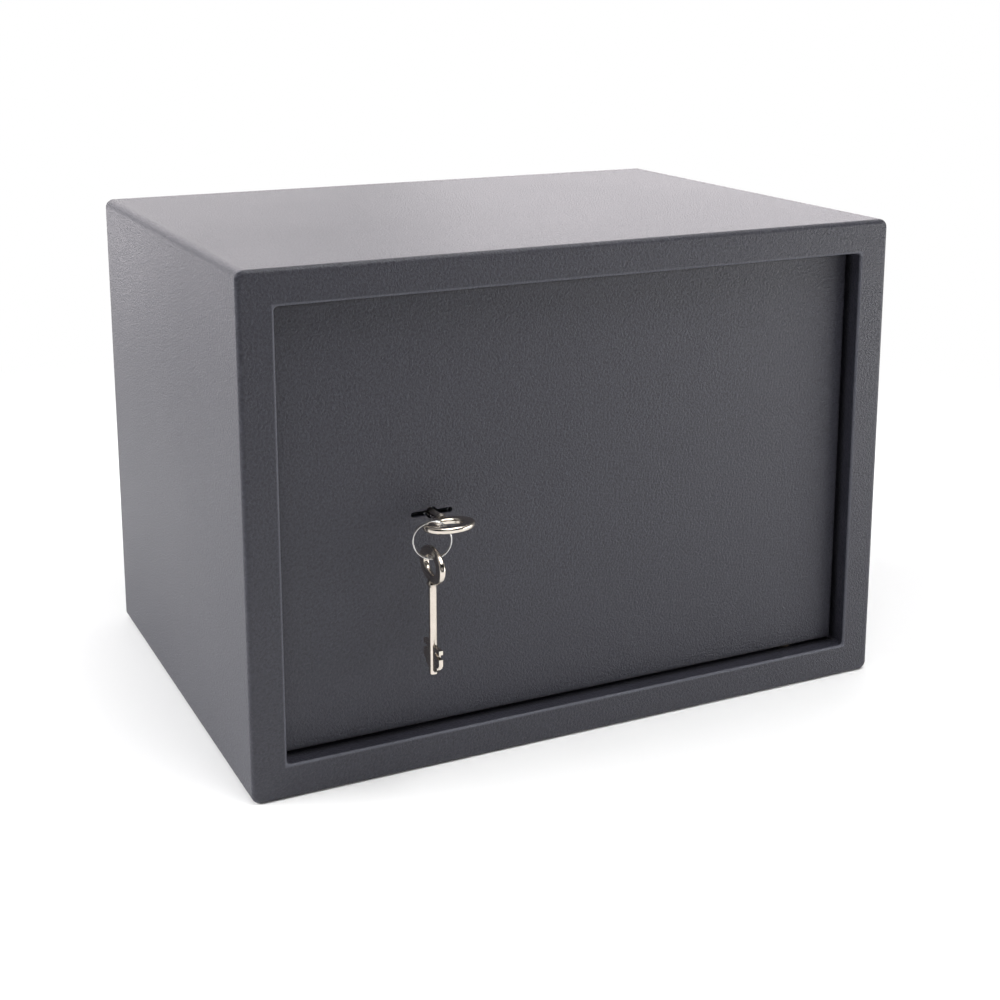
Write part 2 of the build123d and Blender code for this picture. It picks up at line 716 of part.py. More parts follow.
def make_key(base):
    """A key on a plane with its origin in the bow, X across the bow and Y towards the tip."""
    tip = bow_half_length + key_shank_length
    bit_start = tip - bit_length
    bounds = [bit_start, bit_start + tooth_length + lever_gap / 2]
    for i, lever_front in enumerate(lever_fronts):
        start = lever_front + lever_thickness + lever_gap / 2
        if i == levers_in_front - 1:
            start = lock_bolt_back + lever_gap / 2
        bounds.append(tip + start - tip_depth)
    reaches = [bit_reach] + lever_cuts
    outline = [(0, bounds[0])]
    for reach, start, end in zip(reaches, bounds[:-1], bounds[1:]):
        outline += [(reach, start), (reach, end)]
    outline += [(bit_end_reach, tip - tip_length), (0, tip - tip_length)]
    outline = [point for i, point in enumerate(outline) if i == 0 or point != outline[i - 1]]
    with BuildPart() as key_part:
        with BuildSketch(base.offset(-bow_thickness / 2)):
            Ellipse(bow_half_width, bow_half_length)
            Ellipse(bow_hole_half_width, bow_hole_half_length, mode=Mode.SUBTRACT)
        extrude(amount=bow_thickness)
        fillet(key_part.edges().filter_by(GeomType.ELLIPSE), bow_edge_radius)
        shank_plane = Plane(
            origin=base.from_local_coords((0, bow_half_length - bow_edge_radius, 0)),
            x_dir=base.x_dir,
            z_dir=base.y_dir,
        )
        with BuildSketch(shank_plane):
            Circle(key_shank_diameter / 2)
        extrude(amount=key_shank_length + bow_edge_radius)
        with BuildSketch(shank_plane):
            Circle(neck_radius * 0.75)
        with BuildSketch(shank_plane.offset(neck_length / 2)):
            Circle(neck_radius)
        with BuildSketch(shank_plane.offset(neck_length)):
            Circle(key_shank_diameter / 2 + thread_fit)
        loft(ruled=True)
        for hand in (1, -1):
            with BuildSketch(base.offset(-bit_thickness / 2)):
                with BuildLine():
                    Polyline([(hand * x, y) for x, y in outline], close=True)
                make_face()
            extrude(amount=bit_thickness)
    return key_part.part


key = make_key(
    Plane(origin=(key_x, front_y + bow_depth, key_z), x_dir=(1, 0, 0), z_dir=(0, 0, 1))
)
save(key, "key")

spare_key = make_key(
    Plane(origin=(ring_x, front_y + bow_depth, spare_bow_z), x_dir=(0, 1, 0), z_dir=(-1, 0, 0))
)
save(spare_key, "spare_key")

# Split ring: one wire wound nearly twice, hung over the left end of the key's bow. The middle of
# its length is at the top, so its two ends lie on either side of it there. Each quarter of a turn
# is a pair of arcs that meet in line.
ring_centre = Vector(ring_x, front_y + bow_depth, ring_z)
ring_across = Vector(math.cos(math.radians(ring_yaw)), -math.sin(math.radians(ring_yaw)), 0)
ring_normal = Vector(math.sin(math.radians(ring_yaw)), math.cos(math.radians(ring_yaw)), 0)
ring_up = Vector(0, 0, 1)


def ring_point(turn):
    """A point on the middle of the ring's wire, some turns from the middle of its length."""
    angle = 2 * math.pi * turn
    round_part = ring_up * math.cos(angle) - ring_across * math.sin(angle)
    return ring_centre + round_part * ring_mid_radius + ring_normal * (ring_pitch * turn)


def ring_heading(turn):
    """The direction of the ring's wire at that point."""
    angle = 2 * math.pi * turn
    round_part = ring_up * -math.sin(angle) - ring_across * math.cos(angle)
    climb = ring_pitch / (2 * math.pi * ring_mid_radius)
    return (round_part + ring_normal * climb).normalized()


def add_arc_pair(start, end):
    """Two arcs that meet in line, between two places on the wire given in turns."""
    span = ring_point(end) - ring_point(start)
    both = ring_heading(start) + ring_heading(end)
    bend = 2 * (ring_heading(start).dot(ring_heading(end)) - 1)
    along = span.dot(both) * 2
    reach = (along - math.sqrt(along**2 - 4 * bend * span.dot(span))) / (2 * bend)
    meet = (
        ring_point(start)
        + ring_point(end)
        + (ring_heading(start) - ring_heading(end)) * reach
    ) / 2
    TangentArc(ring_point(start), meet, tangent=ring_heading(start))
    TangentArc(meet, ring_point(end), tangent=span)


ring_spans = 8
span_turn = ring_turns / ring_spans
with BuildPart() as split_ring:
    with BuildLine() as ring_path:
        for number in range(ring_spans):
            span_start = -ring_turns / 2 + number * span_turn
            add_arc_pair(span_start, span_start + span_turn)
    with BuildSketch(Plane(origin=ring_path.line @ 0, z_dir=ring_path.line % 0)):
        Circle(ring_wire / 2)
    sweep()
save(split_ring.part, "split_ring")

ring_samples = [ring_path.line @ (i / 400) for i in range(401)]
ring_self_gap = min(
    (ring_samples[i] - ring_samples[j]).length - ring_wire
    for i in range(401)
    for j in range(i + 100, 401)
)
wire_length = sum(edge.length for edge in ring_path.line.edges())
wire_volume = wire_length * math.pi * ring_wire**2 / 4
print("least gap between the ring's turns, measured on points", round(ring_self_gap, 3))
print("ring volume over wire section times length", split_ring.part.volume / wire_volume)
print("key axis", key_x, key_z, "hinge axis", hinge_x, front_y + hinge_depth)
print("case", case_inner_left, case_inner_right, case_inner_down, case_inner_up)
print("depths", bit_front, barrel_back, lock_bolt_front, lock_bolt_back, levers_back, tip_depth)
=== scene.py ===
# %% [markdown]
# # A key lock safe
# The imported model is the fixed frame: a grey steel box, a recessed door and the lock behind it. This
# lesson gives each piece the finish of the real one, adds the soft and fine things that plain solids
# leave out, and sets the camera and the light of a product photograph.

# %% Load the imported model
import math

import bmesh
import bpy
from mathutils import Matrix, Vector


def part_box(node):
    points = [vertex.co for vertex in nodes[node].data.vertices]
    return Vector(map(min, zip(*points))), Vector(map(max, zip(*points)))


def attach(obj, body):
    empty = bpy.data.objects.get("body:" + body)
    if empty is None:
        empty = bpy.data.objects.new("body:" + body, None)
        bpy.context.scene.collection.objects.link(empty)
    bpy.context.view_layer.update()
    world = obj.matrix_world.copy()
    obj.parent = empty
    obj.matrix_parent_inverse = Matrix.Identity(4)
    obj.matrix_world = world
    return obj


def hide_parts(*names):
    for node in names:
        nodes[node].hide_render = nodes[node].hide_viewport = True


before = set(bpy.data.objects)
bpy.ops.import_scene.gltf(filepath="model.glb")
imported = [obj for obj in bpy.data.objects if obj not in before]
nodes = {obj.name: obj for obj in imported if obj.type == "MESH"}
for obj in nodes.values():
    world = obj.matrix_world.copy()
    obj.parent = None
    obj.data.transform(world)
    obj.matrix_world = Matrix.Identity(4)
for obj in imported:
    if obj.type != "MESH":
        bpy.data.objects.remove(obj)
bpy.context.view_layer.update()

# %% [markdown]
# The camera stands where it stood for the photograph: to the left of the safe and a little above it.
# The picture was cropped, so the optical axis meets it above the middle. A small vertical shift of the
# lens gives the same crop and keeps the upright edges at the angle that they have in the photograph.

# %% Camera
picture_side = 1000  # pixels of the photograph, each way
focal_pixels = 1623
sensor_mm = 36
crop_shift = -0.18  # of the picture's side
camera_place = Vector((-0.3696, -0.7887, 0.3745))
ahead = Vector((0.4253, 0.8807, -0.2088)).normalized()
right = Vector((0.9005, -0.4348, 0.0)).normalized()
upward = right.cross(ahead)

camera_data = bpy.data.cameras.new("photo_camera")
camera_data.sensor_width = sensor_mm
camera_data.lens = sensor_mm * focal_pixels / picture_side
camera_data.shift_y = crop_shift
camera_data.clip_start = 0.01
camera = bpy.data.objects.new("photo_camera", camera_data)
bpy.context.collection.objects.link(camera)
turned = Matrix((right, upward, -ahead)).transposed()
camera.matrix_world = Matrix.Translation(camera_place) @ turned.to_4x4()
bpy.context.scene.camera = camera
print("lens", round(camera_data.lens, 1), "mm")

# %% [markdown]
# Colours are written as sRGB hex values, as a paint chart gives them, and one function turns them to
# the linear values that a shader works with. One more adds a shader node with its settings and its
# links. The other three start a material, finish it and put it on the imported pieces.

# %% Helpers for materials
def hex_colour(code, alpha=1.0):
    """An sRGB hex value as linear red, green, blue and alpha."""
    linear = []
    for i in (0, 2, 4):
        value = int(code[i : i + 2], 16) / 255
        linear.append(value / 12.92 if value <= 0.04045 else ((value + 0.055) / 1.055) ** 2.4)
    return (*linear, alpha)


def add_node(tree, kind, settings=None, links=None):
    """A node of a kind, with its properties and inputs set, and its inputs linked."""
    node = tree.nodes.new(kind)
    for name, value in (settings or {}).items():
        if isinstance(name, str) and hasattr(node, name):
            setattr(node, name, value)
        else:
            node.inputs[name].default_value = value
    for name, output in (links or {}).items():
        tree.links.new(output, node.inputs[name])
    return node


def new_material(name):
    """An empty material, its node tree and its output node."""
    material = bpy.data.materials.new(name)
    material.use_nodes = True
    material.node_tree.nodes.clear()
    return material, material.node_tree, material.node_tree.nodes.new("ShaderNodeOutputMaterial")


def finish_material(tree, output, settings, links):
    """The surface shader with its settings and links, joined to the material's output."""
    shader = add_node(tree, "ShaderNodeBsdfPrincipled", settings, links)
    tree.links.new(shader.outputs["BSDF"], output.inputs["Surface"])
    return shader


def wear(material, *names):
    """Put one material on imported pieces, over all of their own slots."""
    for name in names:
        mesh = nodes[name].data
        mesh.materials.clear()
        mesh.materials.append(material)


print("black", hex_colour("000000"), "white", hex_colour("ffffff"))

# %% [markdown]
# A pale line runs along the folded edge of the lip and a dark one in the corner behind it: a highlight
# and a shade, which soft light alone leaves too faint here. So the coat carries both in its colour, as
# a painted highlight along the edge and a painted shade in the corner round the door. Both run round
# the opening, each at its own depth, so one function tells how near a point is to such a line.

# %% Painted highlight and shade round the door
door_low, door_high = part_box("door_plate")
door_gap = 0.0016
lip_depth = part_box("cabinet_body")[0][1]
corner_depth = door_low[1]
# How far the painted highlight on the lip's edge and the painted shade in the corner round the door
# reach.
painted_highlight_reach = (0.0006, 0.0015)  # metres from the line: where its mark is full, and where it ends
painted_shade_reach = (0.0005, 0.004)


def mark_near_opening(tree, place, depth, reach, most):
    """How much of a mark a point has from a line round the opening, at a depth along Y."""
    axes = add_node(tree, "ShaderNodeSeparateXYZ", {}, {"Vector": place})
    beyond = []
    for axis, i in (("X", 0), ("Z", 2)):
        middle = (door_low[i] + door_high[i]) / 2
        half = (door_high[i] - door_low[i]) / 2 + door_gap
        offset = add_node(
            tree, "ShaderNodeMath", {"operation": "SUBTRACT", 1: middle}, {0: axes.outputs[axis]}
        )
        size = add_node(tree, "ShaderNodeMath", {"operation": "ABSOLUTE"}, {0: offset.outputs[0]})
        beyond.append(
            add_node(tree, "ShaderNodeMath", {"operation": "SUBTRACT", 1: half}, {0: size.outputs[0]})
        )
    outward = add_node(
        tree,
        "ShaderNodeMath",
        {"operation": "MAXIMUM"},
        {0: beyond[0].outputs[0], 1: beyond[1].outputs[0]},
    )
    section = add_node(
        tree, "ShaderNodeCombineXYZ", {}, {"X": outward.outputs[0], "Y": axes.outputs["Y"]}
    )
    distance = add_node(
        tree,
        "ShaderNodeVectorMath",
        {"operation": "DISTANCE", 1: (0, depth, 0)},
        {0: section.outputs[0]},
    )
    return add_node(
        tree,
        "ShaderNodeMapRange",
        {
            "interpolation_type": "SMOOTHSTEP",
            "From Min": reach[0],
            "From Max": reach[1],
            "To Min": most,
            "To Max": 0.0,
        },
        {"Value": distance.outputs["Value"]},
    ).outputs["Result"]


opening = [door_high[i] - door_low[i] + 2 * door_gap for i in (0, 2)]
print("opening", [round(side * 1000) for side in opening], "mm")

# %% [markdown]
# The box, the door and what is welded to them are steel with a textured polyester powder coat. The
# powder melts in an oven and draws itself into a fine leathery grain, a little over a millimetre
# across, with a finer one of half a millimetre on it. The paint itself is dark graphite. The grain is
# a noise that does two things: as bump its slopes catch the light, and as colour its pits get a painted
# shade, a little darker than its tops. A slow change in gloss, over a hand's width, keeps big flat
# sheets from looking printed. A painted highlight along the lip's edge and a painted shade in the
# corner round the door are mixed over it.

# %% Powder coat
grain_mm = 1.25
fine_grain_mm = 0.5
grain_height_mm = 0.5  # several times the real height, so that it shows at this distance
fine_share = 0.3  # how high the fine grain stands, beside the coarse one
cloud_mm = 160.0
# The colours of the painted shade in the corner round the door and of the painted highlight on the
# lip's edge.
painted_shade_colour = "0b0b0e"
painted_highlight_colour = "4e4f58"


def powder_coat(name, code, light):
    """Textured powder coat, satin, with a fine leathery grain, painted shade in its pits, and a painted
    highlight and shade round the door.
    """
    material, tree, output = new_material(name)
    place = add_node(tree, "ShaderNodeTexCoord").outputs["Object"]
    grain = add_node(
        tree,
        "ShaderNodeTexNoise",
        {"Scale": 1000 / grain_mm, "Detail": 3.0, "Roughness": 0.55, "Distortion": 0.6},
        {"Vector": place},
    )
    fine = add_node(
        tree, "ShaderNodeTexNoise", {"Scale": 1000 / fine_grain_mm, "Detail": 1.0}, {"Vector": place}
    )
    cloud = add_node(
        tree, "ShaderNodeTexNoise", {"Scale": 1000 / cloud_mm, "Detail": 2.0}, {"Vector": place}
    )
    heights = add_node(
        tree,
        "ShaderNodeMath",
        {"operation": "MULTIPLY_ADD", 1: fine_share},
        {0: fine.outputs["Fac"], 2: grain.outputs["Fac"]},
    )
    bump = add_node(
        tree,
        "ShaderNodeBump",
        {"Strength": 1.0, "Distance": grain_height_mm / 1000},
        {"Height": heights.outputs["Value"]},
    )
    gloss = add_node(
        tree,
        "ShaderNodeMapRange",
        {"From Min": 0.3, "From Max": 0.7, "To Min": 0.39, "To Max": 0.42},
        {"Value": cloud.outputs["Fac"]},
    )
    # Painted shade in the grain: the colour darkens where the grain is low and pales where it is high.
    grain_pit_shade = add_node(
        tree,
        "ShaderNodeMapRange",
        {"From Min": 0.35, "From Max": 0.75, "To Min": 0.0, "To Max": 0.7},
        {"Value": grain.outputs["Fac"]},
    )
    tint = add_node(
        tree,
        "ShaderNodeMix",
        {"data_type": "RGBA", 6: hex_colour(code), 7: hex_colour(light)},
        {0: grain_pit_shade.outputs["Result"]},
    )
    # A painted shade darkens the coat in the corner round the door, and a painted highlight pales it
    # along the lip's edge.
    painted_shade = mark_near_opening(tree, place, corner_depth, painted_shade_reach, 0.85)
    painted_highlight = mark_near_opening(tree, place, lip_depth, painted_highlight_reach, 0.9)
    with_painted_shade = add_node(
        tree,
        "ShaderNodeMix",
        {"data_type": "RGBA", 7: hex_colour(painted_shade_colour)},
        {0: painted_shade, 6: tint.outputs[2]},
    )
    with_painted_highlight = add_node(
        tree,
        "ShaderNodeMix",
        {"data_type": "RGBA", 7: hex_colour(painted_highlight_colour)},
        {0: painted_highlight, 6: with_painted_shade.outputs[2]},
    )
    finish_material(
        tree,
        output,
        {"IOR": 1.45, "Metallic": 0.0},
        {
            "Base Color": with_painted_highlight.outputs[2],
            "Roughness": gloss.outputs["Result"],
            "Normal": bump.outputs["Normal"],
        },
    )
    return material


graphite_coat = powder_coat("powder_coated_steel", "25252d", "3c3c46")
wear(
    graphite_coat,
    "cabinet_body",
    "back_panel",
    "door_stops",
    "door_plate",
    "lower_hinge_bracket",
    "upper_hinge_bracket",
    "lower_bolt_guide",
    "upper_bolt_guide",
)
print("coated pieces share", graphite_coat.name)

# %% [markdown]
# The lock case, its cover, the carrier and the small fasteners are pressed steel with a bright zinc
# plate. Zinc is a little blue and never quite even: the bath leaves soft clouds, and pressing leaves
# fine lines along the sheet. The bolts, the pins and the ring are turned or drawn steel, the levers are
# stamped brass, and the keys are plated with nickel. The bushes are sintered bronze soaked in oil,
# which darkens it, and their colour is painted darker still, nearly black, as painted shade in the gap
# where they show. All of them need the same three things, so one function makes them: lines along the
# way that the tool went, a soft cloud that shades the colour, and a gloss that follows the cloud. The
# lines are drawn a few times as wide as real ones, which are too fine to show.

# %% Plated, turned and stamped metals
line_stretch = 60  # how many times as long as wide a tool's line is
gloss_below, gloss_above = 0.07, 0.09  # how far the clouds move the roughness, each way


def sheet_metal(name, code, shade, roughness, lines_mm, along, cloud_mm=9.0, depth=0.00001):
    """A metal with fine lines along one direction and soft clouds in its gloss."""
    material, tree, output = new_material(name)
    place = add_node(tree, "ShaderNodeTexCoord").outputs["Object"]
    stretch = [1000 / lines_mm] * 3
    stretch[along] = 1000 / (lines_mm * line_stretch)
    drawn = add_node(
        tree,
        "ShaderNodeMapping",
        {"vector_type": "POINT", "Scale": stretch},
        {"Vector": place},
    )
    lines = add_node(
        tree, "ShaderNodeTexNoise", {"Scale": 1.0, "Detail": 2.0}, {"Vector": drawn.outputs[0]}
    )
    cloud = add_node(
        tree,
        "ShaderNodeTexNoise",
        {"Scale": 1000 / cloud_mm, "Detail": 3.0},
        {"Vector": place},
    )
    tint = add_node(
        tree,
        "ShaderNodeMix",
        {"data_type": "RGBA", 6: hex_colour(code), 7: hex_colour(shade)},
        {0: cloud.outputs["Fac"]},
    )
    gloss = add_node(
        tree,
        "ShaderNodeMapRange",
        {"To Min": roughness - gloss_below, "To Max": roughness + gloss_above},
        {"Value": cloud.outputs["Fac"]},
    )
    bump = add_node(
        tree,
        "ShaderNodeBump",
        {"Strength": 0.7, "Distance": depth},
        {"Height": lines.outputs["Fac"]},
    )
    finish_material(
        tree,
        output,
        {"Metallic": 1.0},
        {
            "Base Color": tint.outputs[2],
            "Roughness": gloss.outputs["Result"],
            "Normal": bump.outputs["Normal"],
        },
    )
    return material


zinc_plate = sheet_metal("bright_zinc_plate", "c9cdd2", "b3b8c0", 0.34, 0.25, 2)
turned_steel = sheet_metal("turned_bright_steel", "c6c6c6", "b5b4b2", 0.24, 0.18, 1)
spring_strip = sheet_metal("rolled_spring_steel", "8d9199", "6d7078", 0.3, 0.12, 0)
stamped_brass = sheet_metal("stamped_brass", "cda75a", "b58c43", 0.32, 0.2, 0)
# The bushes are painted nearly black, darker than oiled bronze, as painted shade in the gap where they
# show.
bearing_bronze = sheet_metal("oiled_bronze_painted_as_shade", "443c33", "332e28", 0.5, 0.3, 0, 1.5)
nickel = sheet_metal("nickel_plate", "d6cec4", "c4bbb0", 0.2, 0.3, 1, 5.0, 0.000008)
wear(zinc_plate, "lock_case", "lock_cover", "lock_screws", "lock_studs", "lock_nuts")
wear(zinc_plate, "bolt_carrier", "carrier_screws", "key_barrel")
wear(turned_steel, "lock_bolt", "lower_bolt", "upper_bolt", "lever_pivot")
wear(turned_steel, "lower_hinge_pin", "upper_hinge_pin", "split_ring")
wear(spring_strip, "lever_springs")
wear(stamped_brass, "lever_1", "lever_2", "lever_3", "lever_4", "lever_5", "pivot_spacers")
wear(bearing_bronze, "lower_hinge_bush", "upper_hinge_bush")
wear(nickel, "key", "spare_key")
print("metals", [m.name for m in (zinc_plate, turned_steel, spring_strip, stamped_brass)])

# %% [markdown]
# A piece of felt lies on the floor of the safe. Felt has no weave: its fibres are punched together with
# needles and lie in every direction, and their ends catch the light. A noise about as coarse as the
# tangles of fibre gives its colour, and sheen gives the pale bloom.

# %% Felt
tangle_mm = 0.9
tuft_mm = 7


def needle_felt(name, code, light):
    """Needle felt: a mat of short fibres, with sheen."""
    material, tree, output = new_material(name)
    place = add_node(tree, "ShaderNodeTexCoord").outputs["Object"]
    fibres = add_node(
        tree,
        "ShaderNodeTexNoise",
        {"Scale": 1000 / tangle_mm, "Detail": 4.0, "Roughness": 0.7, "Distortion": 2.5},
        {"Vector": place},
    )
    tufts = add_node(
        tree, "ShaderNodeTexNoise", {"Scale": 1000 / tuft_mm, "Detail": 2.0}, {"Vector": place}
    )
    tint = add_node(
        tree,
        "ShaderNodeMix",
        {"data_type": "RGBA", 6: hex_colour(code), 7: hex_colour(light)},
        {0: fibres.outputs["Fac"]},
    )
    heights = add_node(
        tree,
        "ShaderNodeMath",
        {"operation": "MULTIPLY_ADD", 1: 0.6},
        {0: tufts.outputs["Fac"], 2: fibres.outputs["Fac"]},
    )
    bump = add_node(
        tree,
        "ShaderNodeBump",
        {"Strength": 0.9, "Distance": 0.0004},
        {"Height": heights.outputs["Value"]},
    )
    finish_material(
        tree,
        output,
        {"Roughness": 0.95, "Sheen Weight": 0.35, "Sheen Roughness": 0.4, "IOR": 1.45},
        {"Base Color": tint.outputs[2], "Normal": bump.outputs["Normal"]},
    )
    return material


charcoal_felt = needle_felt("charcoal_felt", "26272a", "3f4145")
print("felt of", charcoal_felt.name)

# %% [markdown]
# The mat is cut from a sheet with a knife, with rounded corners and two round holes over the anchors,
# and its cut edge wears round. A flat filled curve with a small bevel makes all three at once: its
# inner outlines are the holes.

# %% Outlines of the mat
full_turn = 2 * math.pi
hole_steps = 40


def ring_of_points(centre, radius, steps, start=0.0, sweep=full_turn):
    """Points round an arc, for the outline of a flat piece. A full turn doesn't repeat its first."""
    points = []
    for i in range(steps if sweep == full_turn else steps + 1):
        angle = start + sweep * i / steps
        points.append(centre + Vector((radius * math.cos(angle), radius * math.sin(angle), 0)))
    return points


def rounded_outline(centre, length, width, radius, corner_steps=8):
    """The outline of a rounded rectangle, corner by corner."""
    points = []
    for corner, (x, y) in enumerate(((1, 1), (-1, 1), (-1, -1), (1, -1))):
        middle = centre + Vector((x * (length / 2 - radius), y * (width / 2 - radius), 0))
        points += ring_of_points(middle, radius, corner_steps, corner * math.pi / 2, math.pi / 2)
    return points


def flat_curve(name, outlines, height, edge):
    """A flat filled shape with round edges, as a mesh."""
    curve = bpy.data.curves.new(name, "CURVE")
    curve.dimensions = "2D"
    curve.fill_mode = "BOTH"
    curve.extrude = height / 2 - edge
    curve.bevel_depth = edge
    curve.bevel_resolution = 3
    curve.offset = -edge
    for outline in outlines:
        spline = curve.splines.new("POLY")
        spline.points.add(len(outline) - 1)
        for point, place in zip(spline.points, outline):
            point.co = (place.x, place.y, 0, 1)
        spline.use_cyclic_u = True
    shape = bpy.data.objects.new(name + "_curve", curve)
    bpy.context.collection.objects.link(shape)
    bpy.context.view_layer.update()
    mesh = bpy.data.meshes.new_from_object(shape.evaluated_get(bpy.context.evaluated_depsgraph_get()))
    bpy.data.objects.remove(shape)
    piece = bpy.data.objects.new(name, mesh)
    bpy.context.collection.objects.link(piece)
    return piece


print("points round a hole", len(ring_of_points(Vector((0, 0, 0)), 1.0, hole_steps)))

# %% The mat
mat_low, mat_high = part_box("floor_mat")
mat_thickness = mat_high[2] - mat_low[2]
mat_length = mat_high[0] - mat_low[0]
mat_width = mat_high[1] - mat_low[1]
mat_middle = Vector(((mat_low[0] + mat_high[0]) / 2, (mat_low[1] + mat_high[1]) / 2, 0))
mat_corner = 0.006
mat_edge = 0.0006
anchor_x = 0.1
anchor_cut = 0.009

felt_mat = flat_curve(
    "felt_mat",
    [
        rounded_outline(mat_middle, mat_length, mat_width, mat_corner),
        ring_of_points(Vector((-anchor_x, 0, 0)), anchor_cut, hole_steps),
        ring_of_points(Vector((anchor_x, 0, 0)), anchor_cut, hole_steps),
    ],
    mat_thickness,
    mat_edge,
)
felt_mat.data.transform(Matrix.Translation((0, 0, mat_low[2] + mat_thickness / 2)))
felt_mat.data.materials.clear()
felt_mat.data.materials.append(charcoal_felt)
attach(felt_mat, "cabinet")
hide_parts("floor_mat")
print("felt", round(mat_length * 1000), "x", round(mat_width * 1000), "mm")

# %% [markdown]
# The hinge brackets and the bolt guides are welded to the back of the door with short beads. A bead is
# a row of small overlapping ripples with a round top. It is made as a fan of points swept along a line,
# swollen a little at each ripple, and it is painted with the rest.

# %% Weld beads
bead_leg = 0.0028
toe, crown = 0.80, 0.16  # the bead's face, in legs: at its toes, and how much more in the middle
end_length = bead_leg * 0.9
ripple_length = 0.0012
ripple_swell = 0.10
steps_a_ripple = 6
sides = 7
sunk = 0.0001  # how far the back of a bead or a thread reaches into its metal


def weld_bead(name, start, end, wall, floor):
    """A fillet bead from start to end, in a corner whose two faces look along wall and floor."""
    start, end = Vector(start), Vector(end)
    wall, floor = Vector(wall), Vector(floor)
    length = (end - start).length
    along = (end - start).normalized()
    steps = int(length / ripple_length * steps_a_ripple)
    shape = bmesh.new()
    rows = []
    for i in range(steps + 1):
        s = i / steps * length
        end_taper = min(1.0, math.sqrt(max(0.02, min(s, length - s) / end_length)))
        swell = 1 + ripple_swell * abs(math.sin(math.pi * s / ripple_length))
        row = [shape.verts.new(start + along * s - (wall + floor) * sunk)]
        for j in range(sides + 1):
            angle = math.pi / 2 * j / sides
            round_out = bead_leg * end_taper * (toe + crown * math.sin(2 * angle)) * swell
            row.append(
                shape.verts.new(
                    start
                    + along * s
                    + wall * (round_out * math.cos(angle))
                    + floor * (round_out * math.sin(angle))
                )
            )
        rows.append(row)
    for a, b in zip(rows[:-1], rows[1:]):
        for j in range(len(a)):
            k = (j + 1) % len(a)
            shape.faces.new((a[j], a[k], b[k], b[j]))
    shape.faces.new(rows[0][::-1])
    shape.faces.new(rows[-1])
    bmesh.ops.recalc_face_normals(shape, faces=shape.faces)
    mesh = bpy.data.meshes.new(name)
    shape.to_mesh(mesh)
    shape.free()
    for face in mesh.polygons:
        face.use_smooth = True
    bead = bpy.data.objects.new(name, mesh)
    bpy.context.collection.objects.link(bead)
    mesh.materials.append(graphite_coat)
    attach(bead, "door")
    return bead


guide_weld_inset = 0.011
bracket_foot = 0.029
hinge_weld_start = 0.003  # from the free end of the bracket's foot
hinge_weld_end = 0.022
beads = []
for side, inward in (("lower", -1), ("upper", 1)):
    low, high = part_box(f"{side}_bolt_guide")
    for name, level, up in (("below", low[2], -1), ("above", high[2], 1)):
        beads.append(
            weld_bead(
                f"{side}_guide_weld_{name}",
                (low[0] + guide_weld_inset, low[1], level),
                (high[0] - guide_weld_inset, low[1], level),
                (0, 0, up),
                (0, 1, 0),
            )
        )
    low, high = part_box(f"{side}_hinge_bracket")
    foot_end = low[2] if side == "upper" else high[2]
    for name, x, out in (("left", low[0], -1), ("right", low[0] + bracket_foot, 1)):
        beads.append(
            weld_bead(
                f"{side}_hinge_weld_{name}",
                (x, low[1], foot_end + inward * hinge_weld_start),
                (x, low[1], foot_end + inward * hinge_weld_end),
                (out, 0, 0),
                (0, 1, 0),
            )
        )
print("weld beads", len(beads))

# %% [markdown]
# The studs that hold the lock case have a rolled thread. Only the end beyond each nut shows. One ridge
# is swept round the stud along a screw line, at the real pitch of the thread.

# %% Threads on the studs
stud_radius = 0.0025
thread_pitch = 0.0008
ridge_half = thread_pitch * 0.38
ridge_height = 0.00009
steps_a_turn = 28


def screw_thread(name, centre, length):
    """A thread along +Y from a centre, standing a little proud of the stud's shank."""
    turns = length / thread_pitch
    steps = int(turns * steps_a_turn)
    shape = bmesh.new()
    rows = []
    for i in range(steps + 1):
        angle = 2 * math.pi * turns * i / steps
        along = length * i / steps
        fade = min(1.0, 6 * i / steps, 6 * (steps - i) / steps)
        row = []
        for offset, height in ((-ridge_half, -sunk), (0, ridge_height * fade), (ridge_half, -sunk)):
            r = stud_radius + height
            row.append(
                shape.verts.new(
                    (
                        centre[0] + r * math.cos(angle),
                        centre[1] + along + offset,
                        centre[2] + r * math.sin(angle),
                    )
                )
            )
        rows.append(row)
    for a, b in zip(rows[:-1], rows[1:]):
        for j in range(3):
            k = (j + 1) % 3
            shape.faces.new((a[j], a[k], b[k], b[j]))
    shape.faces.new(rows[0])
    shape.faces.new(rows[-1][::-1])
    bmesh.ops.recalc_face_normals(shape, faces=shape.faces)
    mesh = bpy.data.meshes.new(name)
    shape.to_mesh(mesh)
    shape.free()
    thread = bpy.data.objects.new(name, mesh)
    bpy.context.collection.objects.link(thread)
    mesh.materials.append(zinc_plate)
    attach(thread, "door")


stud_low, stud_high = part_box("lock_studs")
nut_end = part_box("lock_nuts")[1][1]
past_nut = 0.0004
bare_ends = 0.0014  # the stud's length beyond the nut that has no ridge, at both ends together
thread_length = stud_high[1] - nut_end - bare_ends
for x_name, x in (("left", stud_low[0] + stud_radius), ("right", stud_high[0] - stud_radius)):
    for z_name, z in (("low", stud_low[2] + stud_radius), ("high", stud_high[2] - stud_radius)):
        screw_thread(f"stud_thread_{x_name}_{z_name}", (x, nut_end + past_nut, z), thread_length)
print("thread length", round(thread_length * 1000, 1), "mm")

# %% [markdown]
# The safe stands on a plain white table. Near it the floor is a matte white that keeps the shadow.
# Further out it turns into plain white, a strength of 1, but only for the camera, for what shines
# through and for what the glossy paint mirrors behind the safe. Light Path tells these rays from the
# ones that carry light to the object, so the background is white and the light stays plain. The table
# ends in front, below the camera, so that the top of the door mirrors the dim room beyond it and the
# bottom mirrors the table, as in the photograph.

# %% Floor
shadow_reach = 0.4  # metres from the middle of the safe at which the floor starts to fade to white
shadow_fade = 0.4
mirrored_white = (-0.5, 0.1)  # along Y, where the glossy paint starts to see white, and sees it fully
table_edge = -0.8  # along Y, just behind the camera's foot
table_half = 60.0


